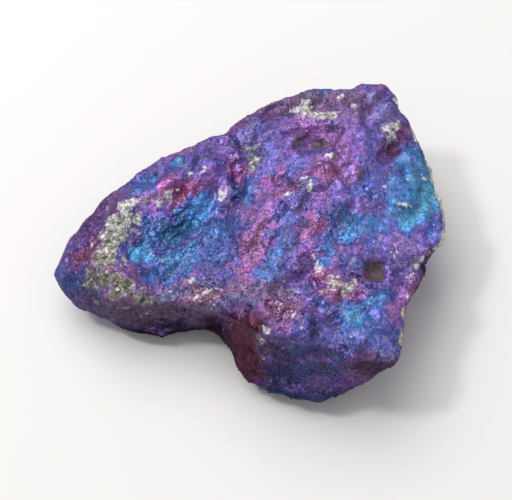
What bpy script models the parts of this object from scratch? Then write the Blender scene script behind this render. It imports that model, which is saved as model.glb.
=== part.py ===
"""Peacock ore: one loose lump of tarnished copper iron sulphide, lying on its broken base.

The lump is one solid. Its landmarks fix every edge and hollow that shows from a step away. They are
joined into a coarse cage of flat faces. The cage is then worn a little round and broken up into the
hackly facets of a fractured sulphide, and the single hollows and ridges are pressed into its top.
X runs to the right along the lump, Y to its back edge and Z up from the base, with the origin on
the ground under the middle of the lump.
"""

import math

import bmesh
import bpy
from mathutils import Matrix, Vector, noise

# The lump's length along X in metres. Every other size below is in millimetres and is scaled to it.
LENGTH = 0.088

# How finely the surface is worked before its flat parts are merged, and how many triangles it keeps
CAGE_VOXEL = 0.8
FACET_VOXEL = 0.75
WEAR_PASSES = 3
WEAR = 0.5
TRIANGLES = 9400

# Each landmark is (x, y, z) in millimetres. The back edge runs from the left tip to the top right knob.
BACK_EDGE = (
    (-44.5, -7.5, 10),
    (-40.3, 0.6, 13.5),
    (-37.3, 5.2, 14.8),
    (-32.4, 11.5, 15.8),
    (-24.7, 17.2, 16),
    (-20, 20.6, 16.6),
    (-14.5, 23, 17.2),
    (-9, 25.3, 18),
    (-6.5, 24.8, 18),
    (-1.5, 27.2, 20.5),
    (1, 26.9, 22),
    (4.5, 27.6, 22.3),
    (8.6, 33.8, 23),
    (17, 34.6, 24),
    (23.5, 34.2, 24.5),
    (27.3, 34.4, 25),
    (32.2, 34.7, 24.8),
    (34, 32.2, 23.7),
)

RIGHT_EDGE = (
    (35.8, 29.6, 22.7),
    (37.5, 27.4, 21.2),
    (39, 25.2, 20.2),
    (40, 22.2, 19.4),
    (41.8, 16.3, 18.2),
    (42.6, 12.5, 17.7),
    (44, 6.5, 17.4),
    (45, 3, 16.5),
    (45.4, -1.1, 15.5),
    (43.8, -3.2, 15.7),
    (40.5, -6.8, 17),
    (36.5, -10.6, 18.6),
    (35.4, -17.3, 19.2),
    (34.8, -22.1, 19.5),
    (33.8, -28.1, 18.7),
    (33.8, -31.5, 17.9),
    (32.6, -34, 17.5),
)

# Where the top breaks over into the dark front face, from the right corner to the left tip
FRONT_BROW = (
    (28.2, -34.9, 19.2),
    (23.9, -35, 20.4),
    (21.2, -33.2, 21.7),
    (18, -31, 22.5),
    (9, -30, 22.5),
    (3.5, -29, 21.5),
    (2.5, -24, 21.5),
    (0, -21.5, 20.5),
    (-5.5, -20.5, 19),
    (-10, -19.8, 16.6),
    (-14, -19.3, 16),
    (-18.5, -18, 16),
    (-24, -18.5, 15.5),
    (-33, -17, 14),
    (-39, -13.5, 11),
)

# The foot of the front face, with the hollow between the left lobe and the front chunk
FRONT_FOOT = (
    (-43, -10.8, 7),
    (-39.8, -14, 5.5),
    (-33.5, -16.5, 4.5),
    (-28.5, -18.7, 4),
    (-24.5, -20.2, 4),
    (-20, -20.8, 4),
    (-15.6, -18.9, 4.5),
    (-10, -18.6, 4.5),
    (-6.6, -20.2, 4.5),
    (-4.5, -23.9, 4.5),
    (-3.8, -27.4, 4.5),
    (-1.6, -31.1, 4.5),
    (4.2, -34.6, 4),
    (11, -36.4, 4),
    (16, -37.4, 4.5),
    (20.6, -36.2, 5.5),
    (25.2, -34, 7),
    (28, -33, 9),
    (31.4, -32.9, 12.5),
)

# Halfway down the front face, along the hollow's wall and round the front chunk's two facets
FRONT_FACE = (
    (-37, -14.5, 9),
    (-28, -17.5, 9.5),
    (-20, -19, 10),
    (-14, -18.6, 10),
    (-9.5, -18.1, 10),
    (-5.1, -20.1, 11),
    (-2, -24.3, 12),
    (1, -28.5, 13),
    (5, -31.5, 13),
    (13, -33, 13),
    (19.5, -33, 14),
)

LEFT_LOBE = (
    (-29.5, 5, 17.5),
    (-32, -3, 17.5),
    (-31.5, -10.5, 17),
    (-27, -15.5, 16.5),
    (-39, -6.5, 13.5),
    (-36.5, -12, 12.5),
    (-22.5, 8.5, 18.5),
    (-16, 12, 19.5),
    (-8.5, 16, 19.5),
    (-5, 20.5, 18.5),
    (-22.5, 0, 15),
    (-17, 1, 14),
    (-15, 3, 14.5),
    (-10.5, 8, 16.5),
    (-20, -7.5, 15.5),
    (-10, -1, 17),
    (-7.5, -8.5, 18),
    (-13, -13, 17.5),
    (-6, 9.5, 17),
    (-3, 12, 17),
)

MAIN_BODY = (
    (0, 15.5, 22),
    (0, 7, 21),
    (-2, -0.5, 20.5),
    (4.5, 21, 24),
    (14, 24, 25.5),
    (23, 25.5, 26),
    (29.5, 23, 25.5),
    (13.5, 19, 23.5),
    (20.5, 16, 25.5),
    (26, 13.5, 25),
    (8, 10, 23),
    (17, 8.5, 25),
    (4.5, 0.5, 22.5),
    (13.5, -3.5, 23),
    (22.5, 1.5, 23.5),
    (30.5, 7, 21),
    (33.5, 22.5, 21),
    (29, 15.5, 22.5),
    (35.5, 19.5, 20),
    (37.5, 9.5, 19),
    (36, 0.5, 18.5),
    (40.5, -1, 16.5),
    (0, -12.5, 20.5),
    (9, -15.5, 22),
    (17.5, -11, 23),
    (27.5, -12, 20.5),
    (24.5, -8, 22),
    (32, -9.5, 20),
    (-2, -19.5, 20),
    (6.5, -24, 22),
    (20, -17, 22.5),
    (25, -23, 22),
    (29.5, -27, 20.5),
    (22.5, -29.5, 22.5),
    (11, -27, 23),
)

# Out of the photograph's sight: the lower right side, the back wall and the rise under the left lobe
LOWER_SIDES = (
    (41, -3.5, 11),
    (38.8, -6, 8),
    (35.8, -10, 6.5),
    (33, -18, 9),
    (30.5, -26, 10),
    (42, 6, 9),
    (41, 16, 9),
    (36.5, 26, 11),
    (31, 33.5, 13),
    (22, 35.5, 14),
    (9, 34.5, 12),
    (0, 30.5, 10),
    (-9, 26.5, 9),
    (-19, 21, 9),
    (-29, 13, 9),
    (-37.5, 4, 8.5),
    (-41, -2.5, 7),
    (-35, -6, 4.5),
    (-28, 4, 4),
    (-16, 14, 3),
    (-2, 23, 3),
    (14, 28, 4),
    (28, 24, 4.5),
    (36, 12, 3.5),
    (34, -3, 2.5),
    (29, -20, 3),
    (19, -32, 2.5),
    (11, -32.5, 1.5),
    (3, -29.5, 1.5),
    (-27, -15, 1.5),
)

# The broken base, all of it on the ground
BASE_FACE = (
    (-20, -9, 0),
    (-17, 2, 0),
    (-6, 12, 0),
    (10, 19, 0),
    (23, 15, 0),
    (28, 3, 0),
    (24, -13, 0),
    (13, -23, 0),
    (3, -22, 0),
    (-8, -13, 0),
)

# The lump's middle and half sizes, which turn each landmark into a direction for joining them
MIDDLE = Vector((0, -1, 4.5))
HALF_SIZES = Vector((45, 36, 12))

# The ore's grain runs up to the right across the top, and every facet is drawn out along it
GRAIN_TURN = math.radians(62)
GRAIN_STRETCH = 1.5

# Fracture facets, coarse to fine: size, slope at most, and how far neighbours stand apart
FRACTURES = (
    (10.0, 0.13, 0.24),
    (4.6, 0.18, 0.16),
    (2.2, 0.23, 0.10),
)

# Spread and shift that turn a facet's middle into its own random tilt and level
TILT_SPREAD = 17.3
LEVEL_SPREAD = 29.7
LEVEL_SHIFT = Vector((3, 5, 7))

# Some stretches broke clean and others crumbled: size of such a stretch, and the least and most relief.
# The sides carry less of it, so that the landmarks keep the outline.
STRETCH_SIZE = 15.0
STRETCH_SHIFT = Vector((9, 4, 2))
STRETCH_RANGE = (-0.4, 0.4)
CLEAN_SHARE = 0.5
CRUMBLED_SHARE = 1.4
SIDE_SHARE = 0.5
# The upward part of a point's normal at which it begins to count as top, and at which it fully does
TOP_RANGE = (0.3, 0.6)

# Swells of the whole surface: size and height, and what wear takes off the edges is given back
SWELL_SIZE = 13.0
SWELL_HEIGHT = 0.4
WEAR_ALLOWANCE = 0.1

# Single hollows and ridges of the top: x, y, half length, half width, turn in degrees, height
TOP_MARKS = (
    (-15.5, 0.5, 5.5, 3.0, 40, -1.3),
    (-20.5, -3.5, 3.0, 1.8, 20, -0.8),
    (-2.8, 11.0, 7.0, 1.8, 95, -0.9),
    (32.4, 18.6, 5.0, 1.7, 58, -1.4),
    (13.2, 18.7, 4.5, 1.8, 12, -1.3),
    (27.8, -12.2, 2.8, 2.4, -15, -1.4),
    (7.5, 10.0, 2.8, 1.4, 20, -1.0),
    (30.0, 3.5, 2.4, 1.0, 30, -0.7),
    (10.0, -22.5, 3.2, 1.5, 35, -0.8),
    (19.0, -24.5, 3.0, 1.4, 20, -0.7),
    (-29.5, 1.0, 7.5, 3.4, 78, 0.9),
    (-30.5, -11.5, 5.0, 3.4, 150, 0.8),
    (-8.5, 15.7, 3.2, 2.4, 60, 0.9),
    (-18.4, 12.1, 4.0, 2.4, 30, 0.7),
    (11.5, 7.5, 3.4, 1.3, 55, 0.7),
    (18.5, 11.5, 3.0, 1.6, 30, 0.7),
    (16.0, 27.0, 5.0, 2.2, -8, 0.6),
    (1.0, -2.0, 6.5, 2.4, 66, 0.7),
    (14.0, -2.5, 5.0, 2.2, 66, 0.6),
    (19.5, -17.0, 3.0, 2.0, 10, 0.7),
    (31.9, 22.2, 3.0, 1.5, 62, 0.8),
    (-10.7, -17.5, 5.0, 1.6, -5, 0.6),
)
# The part of a mark's radius that stays at its full height, so that its walls are steep
MARK_FLOOR = 0.45
MARK_ROUNDNESS = 3.0

# The relief fades out between these heights, so that the base stays one flat face
RELIEF_FROM = 0.3
RELIEF_FULL = 3.5
BASE_SNAP = 0.15


def landmarks():
    """Every landmark of the lump, as vectors in millimetres."""
    edges = BACK_EDGE + RIGHT_EDGE + FRONT_BROW + FRONT_FOOT + FRONT_FACE
    surfaces = LEFT_LOBE + MAIN_BODY + LOWER_SIDES + BASE_FACE
    return [Vector(point) for point in edges + surfaces]


def direction(point):
    """The landmark's direction from the lump's middle, with the lump squashed to a ball."""
    away = point - MIDDLE
    return Vector(a / b for a, b in zip(away, HALF_SIZES)).normalized()


def cage_mesh():
    """A closed cage through the landmarks. Neighbours are found on a ball, then put where they belong."""
    points = landmarks()
    bm = bmesh.new()
    layer = bm.verts.layers.int.new("landmark")
    for number, point in enumerate(points):
        bm.verts.new(direction(point))[layer] = number
    bmesh.ops.convex_hull(bm, input=bm.verts)
    for vert in bm.verts:
        vert.co = points[vert[layer]]
    bmesh.ops.triangulate(bm, faces=bm.faces)
    bmesh.ops.recalc_face_normals(bm, faces=bm.faces)
    mesh = bpy.data.meshes.new("cage")
    bm.to_mesh(mesh)
    bm.free()
    return mesh


def keep_largest_piece(mesh):
    """Drops any crumb or bubble that meshing the surface again has split off."""
    bm = bmesh.new()
    bm.from_mesh(mesh)
    left = set(bm.verts)
    pieces = []
    while left:
        piece = set()
        front = [left.pop()]
        while front:
            vert = front.pop()
            piece.add(vert)
            near = {edge.other_vert(vert) for edge in vert.link_edges} & left
            left -= near
            front.extend(near)
        pieces.append(piece)
    largest = max(pieces, key=len)
    bmesh.ops.delete(bm, geom=[vert for vert in bm.verts if vert not in largest], context="VERTS")
    bm.to_mesh(mesh)
    bm.free()


def modified(mesh, kind, **settings):
    """A new mesh: the given one as a single modifier of this kind leaves it."""
    holder = bpy.data.objects.new("holder", mesh)
    bpy.context.scene.collection.objects.link(holder)
    modifier = holder.modifiers.new(kind, kind)
    for name, value in settings.items():
        setattr(modifier, name, value)
    graph = bpy.context.evaluated_depsgraph_get()
    result = bpy.data.meshes.new_from_object(holder.evaluated_get(graph))
    bpy.data.objects.remove(holder, do_unlink=True)
    bpy.data.meshes.remove(mesh)
    return result


def evenly_meshed(mesh, voxel):
    """The same surface made again from even squares, about a voxel wide."""
    return modified(mesh, "REMESH", mode="VOXEL", voxel_size=voxel)


def wear(mesh):
    """Rounds the cage's sharp edges a little, as handling does."""
    bm = bmesh.new()
    bm.from_mesh(mesh)
    for _ in range(WEAR_PASSES):
        bmesh.ops.smooth_vert(
            bm, verts=bm.verts, factor=WEAR, use_axis_x=True, use_axis_y=True, use_axis_z=True
        )
    bm.to_mesh(mesh)
    bm.free()


def smooth_step(value, low, high):
    """0 below low, 1 above high, and an even ease between them."""
    share = min(1.0, max(0.0, (value - low) / (high - low)))
    return share * share * (3 - 2 * share)


def along_grain(point):
    """The point with the grain's direction turned to X and shortened."""
    turned = Matrix.Rotation(-GRAIN_TURN, 3, "Z") @ point
    turned.x /= GRAIN_STRETCH
    return turned


def facet_height(point, size, slope, step):
    """Height at a point of a surface broken into flat facets, each with a tilt and level of its own."""
    spot = along_grain(point) / size
    centre = noise.voronoi(spot)[1][0]
    tilt = noise.cell_vector(centre * TILT_SPREAD) * 2 - Vector((1, 1, 1))
    level = noise.cell(centre * LEVEL_SPREAD + LEVEL_SHIFT) * 2 - 1
    return slope * size * (spot - centre).dot(tilt) + step * level


def mark_height(point, mark):
    """Height that one hollow or ridge adds at a point of the top."""
    x, y, half_length, half_width, turn, height = mark
    away = Matrix.Rotation(-math.radians(turn), 2) @ Vector((point.x - x, point.y - y))
    along = abs(away.x / half_length) ** MARK_ROUNDNESS
    across = abs(away.y / half_width) ** MARK_ROUNDNESS
    radius = (along + across) ** (1 / MARK_ROUNDNESS)
    return height * (1 - smooth_step(radius, MARK_FLOOR, 1.0))


def relief_height(point, normal):
    """How far the broken surface stands out from the worn cage at a point."""
    facing_up = smooth_step(normal.z, *TOP_RANGE)
    crumbled = smooth_step(noise.noise(point / STRETCH_SIZE + STRETCH_SHIFT), *STRETCH_RANGE)
    share = CLEAN_SHARE + (CRUMBLED_SHARE - CLEAN_SHARE) * crumbled
    share *= SIDE_SHARE + (1 - SIDE_SHARE) * facing_up
    height = WEAR_ALLOWANCE + share * SWELL_HEIGHT * noise.noise(point / SWELL_SIZE)
    height += share * sum(facet_height(point, *fracture) for fracture in FRACTURES)
    if facing_up > 0:
        height += facing_up * sum(mark_height(point, mark) for mark in TOP_MARKS)
    return height * smooth_step(point.z, RELIEF_FROM, RELIEF_FULL)


def break_up(mesh):
    """Moves each point of the surface out or in along its normal by the relief there."""
    places = [vert.co.copy() for vert in mesh.vertices]
    normals = [vert.normal.copy() for vert in mesh.vertices]
    for vert, place, normal in zip(mesh.vertices, places, normals):
        vert.co = place + normal * relief_height(place, normal)


def settle(mesh):
    """Puts every point of the base exactly on the ground."""
    for vert in mesh.vertices:
        if vert.co.z < BASE_SNAP:
            vert.co.z = 0.0


def fit_to_length(mesh):
    """Scales the lump to its length in metres and puts the origin under the middle of its box."""
    xs = [vert.co.x for vert in mesh.vertices]
    ys = [vert.co.y for vert in mesh.vertices]
    middle = Vector(((min(xs) + max(xs)) / 2, (min(ys) + max(ys)) / 2, 0))
    scale = LENGTH / (max(xs) - min(xs))
    for vert in mesh.vertices:
        vert.co = (vert.co - middle) * scale


def lump_mesh():
    """The finished surface of the lump."""
    mesh = evenly_meshed(cage_mesh(), CAGE_VOXEL)
    wear(mesh)
    break_up(mesh)
    settle(mesh)
    mesh = evenly_meshed(mesh, FACET_VOXEL)
    keep_largest_piece(mesh)
    settle(mesh)
    mesh.calc_loop_triangles()
    ratio = TRIANGLES / len(mesh.loop_triangles)
    mesh = modified(mesh, "DECIMATE", decimate_type="COLLAPSE", ratio=ratio, use_collapse_triangulate=True)
    settle(mesh)
    fit_to_length(mesh)
    return mesh


def tarnish_material():
    """The thin violet and blue film that tarnish leaves on the metal-bright sulphide."""
    material = bpy.data.materials.new("tarnished_sulphide")
    material.use_nodes = True
    shader = material.node_tree.nodes["Principled BSDF"]
    shader.inputs["Base Color"].default_value = (0.10, 0.09, 0.36, 1.0)
    shader.inputs["Metallic"].default_value = 0.75
    shader.inputs["Roughness"].default_value = 0.4
    return material


def main():
    for obj in list(bpy.data.objects):
        bpy.data.objects.remove(obj, do_unlink=True)
    mesh = lump_mesh()
    mesh.name = "ore_lump"
    mesh.materials.append(tarnish_material())
    lump = bpy.data.objects.new("ore_lump", mesh)
    bpy.context.scene.collection.objects.link(lump)


main()
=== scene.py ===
"""The looks of a lump of peacock ore: its granular surface, its tarnish colours and its pale chips.

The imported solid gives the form. A finer copy of it carries the grain of the broken surface, and
every point of that copy gets a tarnish thickness, from the patches below and from streaks that
follow the grain. Crystals and loose chips stand on it, and one material colours everything.
The lump's sizes are in millimetres until the last step, and the room's are in metres.
"""

import math

import bpy
import numpy as np
from mathutils import Matrix, Vector, noise


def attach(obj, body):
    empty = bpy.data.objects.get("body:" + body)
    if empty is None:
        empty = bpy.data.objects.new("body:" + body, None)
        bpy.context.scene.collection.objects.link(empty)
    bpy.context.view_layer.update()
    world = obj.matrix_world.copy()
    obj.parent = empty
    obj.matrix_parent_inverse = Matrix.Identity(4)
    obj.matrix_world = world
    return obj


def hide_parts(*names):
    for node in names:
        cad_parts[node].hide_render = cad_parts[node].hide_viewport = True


MM = 0.001

# The camera stands over the lump's long front side, and sees nothing nearer than this many metres
CAMERA_TARGET = Vector((1.45, -1.53, 12.12))
CAMERA_DISTANCE = 400
CAMERA_ELEVATION = math.radians(60)
LENS = 125
SENSOR = 36
NEAREST_SEEN = 0.01

# The room: its floor, the light all round, and two lights by name, place, size, power and colour
FLOOR_HALF = 3
FLOOR_COLOUR = (0.82, 0.81, 0.80, 1)
FLOOR_ROUGHNESS = 0.9
SKY_COLOUR = (1, 1, 1, 1)
SKY_STRENGTH = 0.47
LIGHTS = (
    ("key", (-0.25, 0.45, 0.85), 0.9, 7, (1, 0.98, 0.96)),
    ("glint", (-0.5, 0.1, 0.7), 0.12, 2, (1, 1, 1)),
)

# The fine copy: voxel of the first mesh, smoothing, triangles kept
SKIN_VOXEL = 0.34
SMOOTHING_SHARE = 0.5
SMOOTHING_ROUNDS = 5
SKIN_TRIANGLES = 190000

# The grain runs up to the right across the top
GRAIN_TURN = math.radians(62)
GRAIN_STRETCH = 1.5

# Grains of the broken surface: size, slope of each one's top, difference in level, and roundness
GRAINS = (
    (2.8, 0.08, 0.05, 0.05),
    (1.35, 0.15, 0.05, 0.10),
    (0.75, 0.15, 0.03, 0.08),
)

# The heights above the ground between which the relief fades in
GROUND_FADE = (0.05, 1.2)

# Numbers that turn a cell's place, to these decimals, into random ones, with seeds for tilt and level
CELL_DECIMALS = 4
CELL_SCALE = 43758.5453
TILT_SEED, LEVEL_SEED = 0.7, 5.3
CELL_MIX = np.array([[127.1, 269.5, 113.5], [311.7, 183.3, 271.9], [74.7, 246.1, 124.6]])

# Crystals on the surface: their random numbers, the spread and limit of their sizes, how uneven and flat
# they are, how deep they sit, how near the ground they come, and how their lightness, painted glints and
# finish vary
RANDOM = np.random.default_rng(7)
CRYSTAL_SPREAD = 0.35
CRYSTAL_LARGEST = 1.8
CRYSTAL_UNEVENNESS = (0.6, 1.25)
CRYSTAL_FLATNESS = 0.75
CRYSTAL_SINK = 0.3
CRYSTAL_LOWEST = 1.2
CRYSTAL_TONE_SPREAD = 0.16
PAINTED_GLINT_SHARE = 0.06
PAINTED_GLINT_RANGE = (0.1, 0.5)
PALE_RANGE = (0.25, 0.9)
BROWN_RANGE = (0.5, 1)

# Corners and faces of a four-sided and an eight-sided crystal
FOUR_SIDED = (
    ((1, 1, 1), (1, -1, -1), (-1, 1, -1), (-1, -1, 1)),
    ((0, 2, 1), (0, 1, 3), (0, 3, 2), (1, 2, 3)),
)
EIGHT_SIDED = (
    ((1, 0, 0), (0, 1, 0), (0, 0, 1), (-1, 0, 0), (0, -1, 0), (0, 0, -1)),
    ((0, 1, 2), (1, 3, 2), (3, 4, 2), (4, 0, 2), (1, 0, 5), (3, 1, 5), (4, 3, 5), (0, 4, 5)),
)

# Kinds of crystals: name, places tried, usual half size, shape, and the share kept away from the rubble
CRYSTAL_KINDS = (
    ("ore_grains", 48000, 0.27, FOUR_SIDED, 1),
    ("ore_crystals", 22000, 0.40, EIGHT_SIDED, 0.25),
)

# Every patch begins with the x, y and z of its middle, its half length, half width and turn in degrees,
# and later rows lie over earlier ones. Here are the columns of a patch's own values, how far it reaches
# up and down, and where its edge begins and ends
FIRST_VALUE, SECOND_VALUE = 6, 7
PATCH_HEIGHT = 7
PATCH_EDGE = (-0.45, 0.55)

# Layers of noise: each one's share, size and offset, which sets it apart from the others
FILM_STREAKS = ((0.13, 7, 5), (0.08, 2.5, 2))
FILM_SPECKLE = ((0.04, 2, 6), (0.02, 1, 8))
STREAK_MOTTLE = ((0.15, 2.4, 20),)
ROUND_MOTTLE = ((0.12, 1.4, 30),)
CRUST_FRAY = ((0.30, 1.4, 11), (0.25, 0.7, 12))
CRUST_LUMPS = ((0.7, 0.8, 51),)
CRUST_SPECKLE = ((0.18, 1.3, 41), (0.20, 0.6, 43))
OLIVE_FRAY = ((0.22, 1.2, 13),)
PIT_SPECKLE = ((0.12, 1.5, 19),)
PALE_FRAY = ((0.6, 0.7, 17),)
RIM_FRAY = ((0.35, 1.6, 14),)

# How many mottles the patches take turns with, and how steeply fraying sets in at a patch's edge
MOTTLES = 4
FRAY_REACH = 3

# How points wander before the patches are read: the size and offset of the wandering, and how far it goes
# for loose patches, sharp marks and relief
COARSE_WANDER, FINE_WANDER, RELIEF_WANDER = (2.6, 3.1), (0.9, 1.3), (1.5, 2.3)
LOOSE_REACH, SHARP_REACH, RELIEF_REACH = (1.2, 0.2), (0.25, 0.15), 0.5
AXIS_OFFSET = 3.7

# Where the edge of each layer begins and ends
CRUST_EDGE = (0.2, 0.8)
OLIVE_EDGE = (0.25, 0.85)
PALE_EDGE = (0.35, 0.75)
RIM_EDGE = (0.15, 0.7)
LINE_EDGE = (0, 0.9)
PIT_EDGE = (-0.3, 0.3)

# Tarnish by its thickness, away from the patches and in them: about 0.06 shows crimson, 0.15 rose,
# 0.25 magenta, 0.36 purple, 0.46 violet, 0.55 indigo, 0.65 blue, 0.77 azure, 0.88 cyan and 1 teal
USUAL_FILM = 0.45
TARNISH = (
    # tip of the left lobe
    (-40.5, -7.1, 12.7, 5, 4.4, 0, 0.56),
    (-38.5, -11.6, 11.2, 4.4, 2.2, -35, 0.65),
    (-36, -4.2, 15.7, 4.6, 3.2, 35, 0.2),
    (-37, 2.4, 14.7, 3.5, 2, 55, 0.38),
    (-33.5, 7.4, 15.2, 4.5, 2.4, 50, 0.36),
    (-28.5, 11.9, 15.7, 5, 2.2, 42, 0.36),
    # upper rim of the lobe
    (-22, 17.4, 16, 5, 1.8, 35, 0.44),
    (-23.5, 13.9, 15.7, 4.2, 2.6, 35, 0.7),
    (-19.5, 13.9, 16.7, 2.5, 1.8, 35, 0.52),
    (-10, 19.4, 17.8, 8, 4, 22, 0.48),
    (-13.2, 18.4, 19, 3, 2, 20, 0.58),
    (-7.5, 16.4, 18.7, 3.5, 2.4, 30, 0.55),
    (-16.8, 18.2, 17.6, 1.5, 1, 0, 0.84),
    (-15.8, 11.7, 18.4, 4.6, 2.8, 20, 0.18),
    (-11.8, 13.7, 17.7, 4, 2, 30, 0.34),
    (-14.2, 10.4, 16.8, 4, 1.9, 15, 0.12),
    (-22, 8.4, 17.2, 3, 1.6, 30, 0.34),
    (-3.3, 17.9, 17, 3.6, 2.2, 95, 0.3),
    (-2, 15.2, 16.7, 2.6, 1.6, 95, 0.22),
    (-4.6, 12.9, 16.5, 2.6, 1.5, 95, 0.42),
    (-2.6, 9.4, 17, 4.2, 2.2, 95, 0.63),
    # basin
    (-24.5, -1.6, 16.5, 6, 3.8, 80, 0.76),
    (-20, 4.9, 14.8, 4, 2.6, 40, 0.66),
    (-10.8, 7.2, 15.2, 4.8, 3, 35, 0.79),
    (-15.5, 3.4, 13, 6, 3.6, 30, 0.82),
    (-20.6, 7.2, 16, 4.6, 2, 5, 0.36),
    (-24, -4.6, 16, 3.2, 2.4, 50, 0.84),
    (-15.7, -6.6, 16.8, 6.5, 4, 35, 0.78),
    (-19, -10.1, 16.2, 5.5, 2.2, 12, 0.72),
    (-26.8, -0.8, 16.8, 4.4, 1.5, 80, 0.49),
    (-22.5, -12.9, 15.5, 3.8, 2.2, 0, 0.44),
    (-17, -15.1, 15.4, 3, 1.8, 0, 0.7),
    (-6.7, -3.1, 17.5, 9.5, 4.4, 62, 0.64),
    (-9, 1.4, 16.7, 4, 2.4, 60, 0.7),
    (-5, 6.2, 16.2, 3, 1.8, 60, 0.48),
    (-6.5, -11.6, 18.2, 5, 2.8, 20, 0.55),
    # middle bands
    (2, -1.8, 21.7, 6.8, 2.8, 76, 0.32),
    (1.9, -4.6, 20.8, 4.4, 2.6, 76, 0.22),
    (2.4, -8.6, 20.6, 2.8, 1.8, 60, 0.28),
    (-1, -11.6, 19.8, 4.2, 3.2, 40, 0.24),
    (0.2, 8, 20, 3.6, 1.5, 80, 0.7),
    (4.5, 17, 22.8, 3, 4.5, 0, 0.53),
    (4.6, 10.6, 22.1, 3, 1.8, 20, 0.27),
    (7.4, 7.2, 23.8, 3.4, 1.5, 15, 0.22),
    (8.3, -0.4, 22.8, 7.4, 2.9, 68, 0.6),
    (5, -11.1, 21.5, 6.5, 3.4, 58, 0.68),
    (10, 3.4, 24.2, 3.2, 2.8, 0, 0.5),
    (13.8, -1.2, 24, 5, 2.3, 66, 0.19),
    (12.6, -8.4, 22.6, 2.6, 1.8, 60, 0.34),
    (18.8, 3.9, 25.5, 5.5, 2.6, 62, 0.5),
    (15.5, 6.2, 25.4, 2.6, 1.8, 60, 0.38),
    (11.3, 14.2, 23.1, 4.2, 3, 40, 0.57),
    # upper plateau
    (3, 22.9, 23.5, 7, 5, 40, 0.54),
    (8.5, 23.9, 23.8, 4.5, 5, 0, 0.48),
    (20.5, 14.9, 24.7, 7.5, 4.5, 20, 0.35),
    (17.5, 23.4, 23.7, 8, 5, 0, 0.31),
    (22.5, 22.5, 25.2, 3.4, 3, 0, 0.41),
    (14.5, 27.4, 24.5, 5, 3.5, 0, 0.34),
    (24.5, 25.4, 26.2, 6, 4.5, 0, 0.42),
    (27.5, 21.4, 24.5, 3.6, 3, 60, 0.53),
    (28, 14.4, 22.7, 3.6, 3.4, 60, 0.53),
    (11.5, 30.9, 23, 8, 2.8, -8, 0.37),
    (22, 30.9, 25.2, 7, 2.4, -6, 0.38),
    (31.5, 30.4, 23.7, 5, 3, -20, 0.55),
    (31, 20.4, 21, 3, 1.4, 60, 0.42),
    (17.4, 10.8, 25, 3.2, 2.2, 10, 0.18),
    # right facet
    (36.5, 17.4, 20.7, 5.5, 3.2, 70, 0.72),
    (38.4, 12.9, 18.7, 6, 4.6, 80, 0.8),
    (40.6, 9.9, 17.5, 6.5, 3, 85, 0.9),
    (36, 4.4, 18.7, 5.5, 3.2, 15, 0.88),
    (31.5, 5.9, 20.5, 5, 3.2, 20, 0.76),
    (27, 8.4, 23.2, 4, 3, 40, 0.6),
    (25.5, -1, 21.9, 6.5, 3.8, 30, 0.73),
    (22.4, -3.1, 22.3, 3.5, 2.6, 60, 0.8),
    (20.9, 0.7, 23.2, 2.4, 1.7, 30, 0.74),
    (23.4, 2.9, 22.8, 3.8, 1.7, 10, 0.42),
    (16.7, -8, 22.2, 1.8, 2.8, 0, 0.76),
    (42.5, 1.9, 16.4, 4, 2.4, 90, 0.6),
    (33.4, 10.8, 20.2, 3, 2.4, 0, 0.74),
    (28.4, 4.6, 21.6, 2.4, 1.8, 20, 0.5),
    (29.5, -5.4, 20.4, 6, 3.4, 0, 0.52),
    (34.5, -4.4, 19.5, 4.6, 3.2, 0, 0.46),
    (35.5, -9.1, 19.9, 4, 3, 0, 0.47),
    # lower right
    (15.2, -12.4, 21.2, 2.6, 1.8, 100, 0.16),
    (24, -8.6, 21.4, 3, 2, 0, 0.55),
    (11, -12.6, 20.8, 3.2, 3, 0, 0.46),
    (30, -14.1, 19.4, 3.4, 2.6, 0, 0.5),
    (21.5, -20.4, 19.2, 7, 3.6, 0, 0.72),
    (26.5, -18.8, 19.5, 4.5, 3.2, 0, 0.75),
    (19.4, -16.8, 21, 5.4, 3.5, 0, 0.2),
    (30.2, -10.6, 19.6, 2.4, 3.4, 0, 0.5),
    (22.5, -25.4, 20.2, 5.2, 4.4, -20, 0.86),
    (29.2, -25, 20.2, 4, 4.6, 0, 0.59),
    (22.8, -27.4, 20.6, 4.6, 2.4, 0, 0.71),
    (32.8, -20.4, 19.2, 5.6, 2.6, 85, 0.31),
    (25, -29.8, 20, 6.5, 2.8, 0, 0.61),
    (8, -21.6, 21, 4.8, 4, 0, 0.24),
    (16, -25.1, 19.7, 5.4, 5, 0, 0.54),
    (-2, -18.4, 19.4, 3.8, 1.4, -10, 0.6),
    (-9.8, -16, 17.8, 5, 2.2, 0, 0.16),
    (-1, -22, 18.6, 4.8, 2.6, -20, 0.32),
    (0.8, -25, 20, 3.4, 2.4, -30, 0.07),
    (-1.2, -27.2, 6.4, 4.6, 4.4, 0, 0.06),
)

# Patches on the walls below the top's edge: tarnish thickness, and painted shade that darkens the walls
WALL_FILM_AND_PAINTED_SHADE = (
    (-20, -17.5, 10, 14, 5, 0, 0.42, 0.54),
    (-34, -14, 9, 7, 4, -30, 0.45, 0.58),
    (12, -31, 15, 10, 5, 0, 0.61, 0.58),
    (13, -34, 4, 13, 5, 0, 0.61, 0.4),
    (27.5, -32, 15.5, 7, 4, 0, 0.29, 0.33),
    # painted shadow near the ground below the notch
    (-18, -18.5, 1, 20, 6, 0, 0.42, 0.07),
    (-6.5, -20, 7, 5, 4.5, 0, 0.28, 0.07),
    (39, -11, 17, 6, 3.5, 80, 0.3, 0.28),
    (7, -36, 2, 5, 4, 0, 0.5, 0.2),
    (4, -29.5, 14, 5, 4, 0, 0.4, 0.42),
    (6.5, -32.5, 7, 5, 4, 0, 0.66, 0.31),
    (-1.6, -23.8, 14.5, 4.8, 4.8, -35, 0, 0.46),
    (-0.4, -26.8, 6.5, 5.8, 6, -35, 0.05, 0.28),
)

# How far the surface's normal points up where these patches show in full, and where they end
WALL_SLOPE = (0.35, 0.75)

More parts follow.
